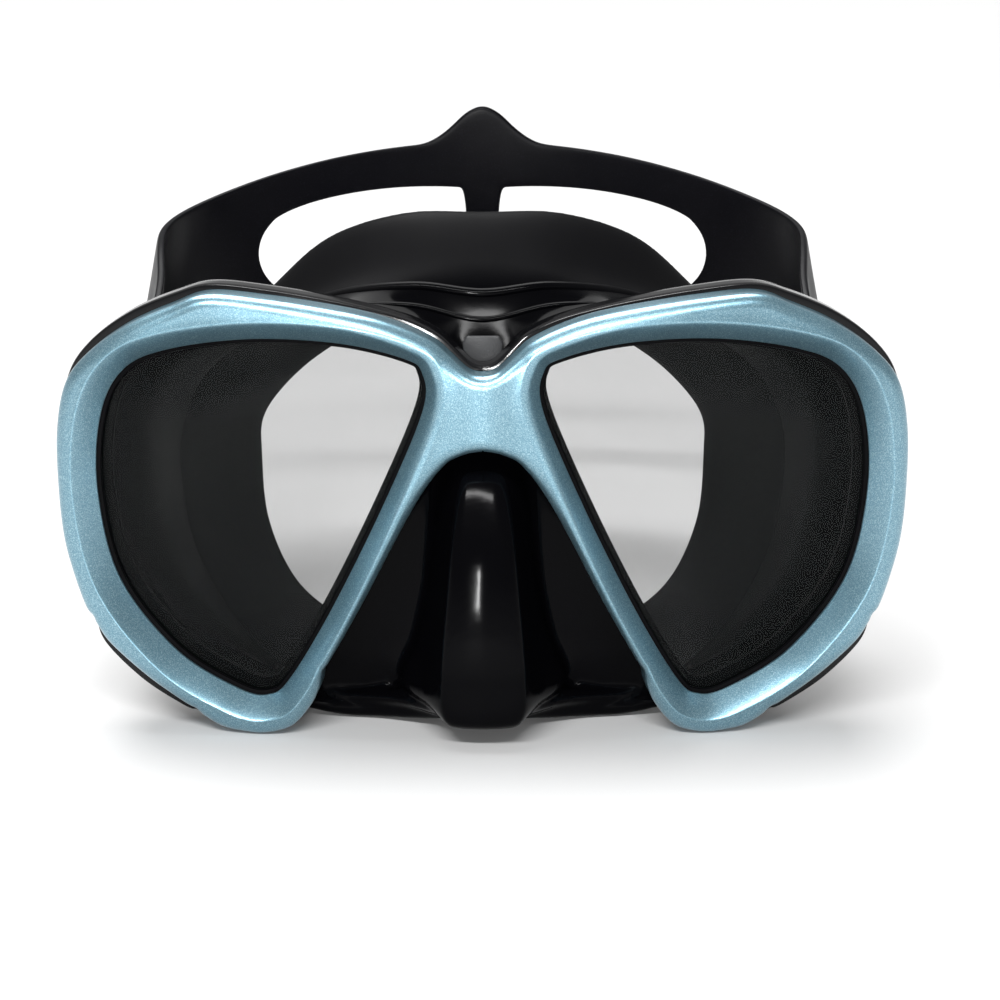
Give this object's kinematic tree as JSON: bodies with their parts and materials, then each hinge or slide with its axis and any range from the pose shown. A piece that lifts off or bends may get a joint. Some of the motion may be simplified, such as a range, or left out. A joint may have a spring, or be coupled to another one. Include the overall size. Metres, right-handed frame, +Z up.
{
  "type": "diving mask",
  "caption": "Low-volume diving mask: blue bezel on a black frame, turned glass lenses, silicone skirt with nose pocket, split head strap on swivelling squeeze buckles.",
  "frame": {"origin": "centre of the whole mask's box, on the table it stands on", "axes": "+X to the right as seen from the front, +Y from the lenses back towards the strap, +Z up"},
  "size_m": [0.168, 0.1681, 0.1062],
  "materials": {
    "bezel_paint": "pearl light blue paint on plastic, fine flake",
    "frame_plastic": "gloss black",
    "lens_glass": "clear polished tempered glass",
    "skirt_silicone": "glossy black silicone, matte face",
    "catch_plastic": "satin grey",
    "pin_steel": "stainless steel",
    "buckle_plastic": "satin black",
    "roller_plastic": "dark grey acetal",
    "button_plastic": "satin black",
    "spring_steel": "spring steel",
    "strap_silicone": "satin black silicone"
  },
  "bodies": {
    "mask": {"front_bezel": "bezel_paint", "main_frame": "frame_plastic", "lens_left": "lens_glass", "lens_right": "lens_glass", "skirt": "skirt_silicone", "bridge_catch": "catch_plastic", "pivot_pins": "pin_steel"},
    "harness": {"swivel_left": "buckle_plastic", "swivel_right": "buckle_plastic", "strap": "strap_silicone", "keeper_left": "strap_silicone", "keeper_right": "strap_silicone", "spring_upper_left": "spring_steel", "spring_lower_left": "spring_steel", "spring_upper_right": "spring_steel", "spring_lower_right": "spring_steel"},
    "roller_left": {"roller_left": "roller_plastic"},
    "roller_right": {"roller_right": "roller_plastic"},
    "pawl_left": {"pawl_left": "roller_plastic"},
    "pawl_right": {"pawl_right": "roller_plastic"},
    "button_upper_left": {"button_upper_left": "button_plastic"},
    "button_lower_left": {"button_lower_left": "button_plastic"},
    "button_upper_right": {"button_upper_right": "button_plastic"},
    "button_lower_right": {"button_lower_right": "button_plastic"}
  },
  "joints": [
    {"name": "strap_swing", "type": "hinge", "parent": "mask", "child": "harness", "pos_m": [0, -0.04685, 0.053], "axis": [1, 0, 0], "range_deg": [-30, 35]},
    {"name": "roller_left_turn", "type": "hinge", "parent": "harness", "child": "roller_left", "pos_m": [-0.078, -0.02285, 0.053], "axis": [0, 0, 1], "continuous": true},
    {"name": "roller_right_turn", "type": "hinge", "parent": "harness", "child": "roller_right", "pos_m": [0.078, -0.02285, 0.053], "axis": [0, 0, 1], "continuous": true},
    {"name": "button_upper_left_press", "type": "slide", "parent": "harness", "child": "button_upper_left", "axis": [0, 0, -1], "range_m": [0, 0.0015], "stiffness_N_per_m": 600, "springref_m": -0.002, "deforming": ["spring_upper_left"]},
    {"name": "button_lower_left_press", "type": "slide", "parent": "harness", "child": "button_lower_left", "axis": [0, 0, 1], "range_m": [0, 0.0015], "stiffness_N_per_m": 600, "springref_m": -0.002, "deforming": ["spring_lower_left"]},
    {"name": "button_upper_right_press", "type": "slide", "parent": "harness", "child": "button_upper_right", "axis": [0, 0, -1], "range_m": [0, 0.0015], "stiffness_N_per_m": 600, "springref_m": -0.002, "deforming": ["spring_upper_right"]},
    {"name": "button_lower_right_press", "type": "slide", "parent": "harness", "child": "button_lower_right", "axis": [0, 0, 1], "range_m": [0, 0.0015], "stiffness_N_per_m": 600, "springref_m": -0.002, "deforming": ["spring_lower_right"]},
    {"name": "pawl_left_lift", "type": "hinge", "parent": "harness", "child": "pawl_left", "pos_m": [-0.0814, -0.03535, 0.053], "axis": [0, 0, 1], "range_deg": [0, 8.6]},
    {"name": "pawl_right_lift", "type": "hinge", "parent": "harness", "child": "pawl_right", "pos_m": [0.0814, -0.03535, 0.053], "axis": [0, 0, -1], "range_deg": [0, 8.6]}
  ],
  "couplings": [
    {"joint": "button_lower_left_press", "follows": "button_upper_left_press", "ratio": 1},
    {"joint": "button_lower_right_press", "follows": "button_upper_right_press", "ratio": 1},
    {"joint": "pawl_left_lift", "follows": "button_upper_left_press", "rad_per_m": 93},
    {"joint": "pawl_right_lift", "follows": "button_upper_right_press", "rad_per_m": 93}
  ]
}
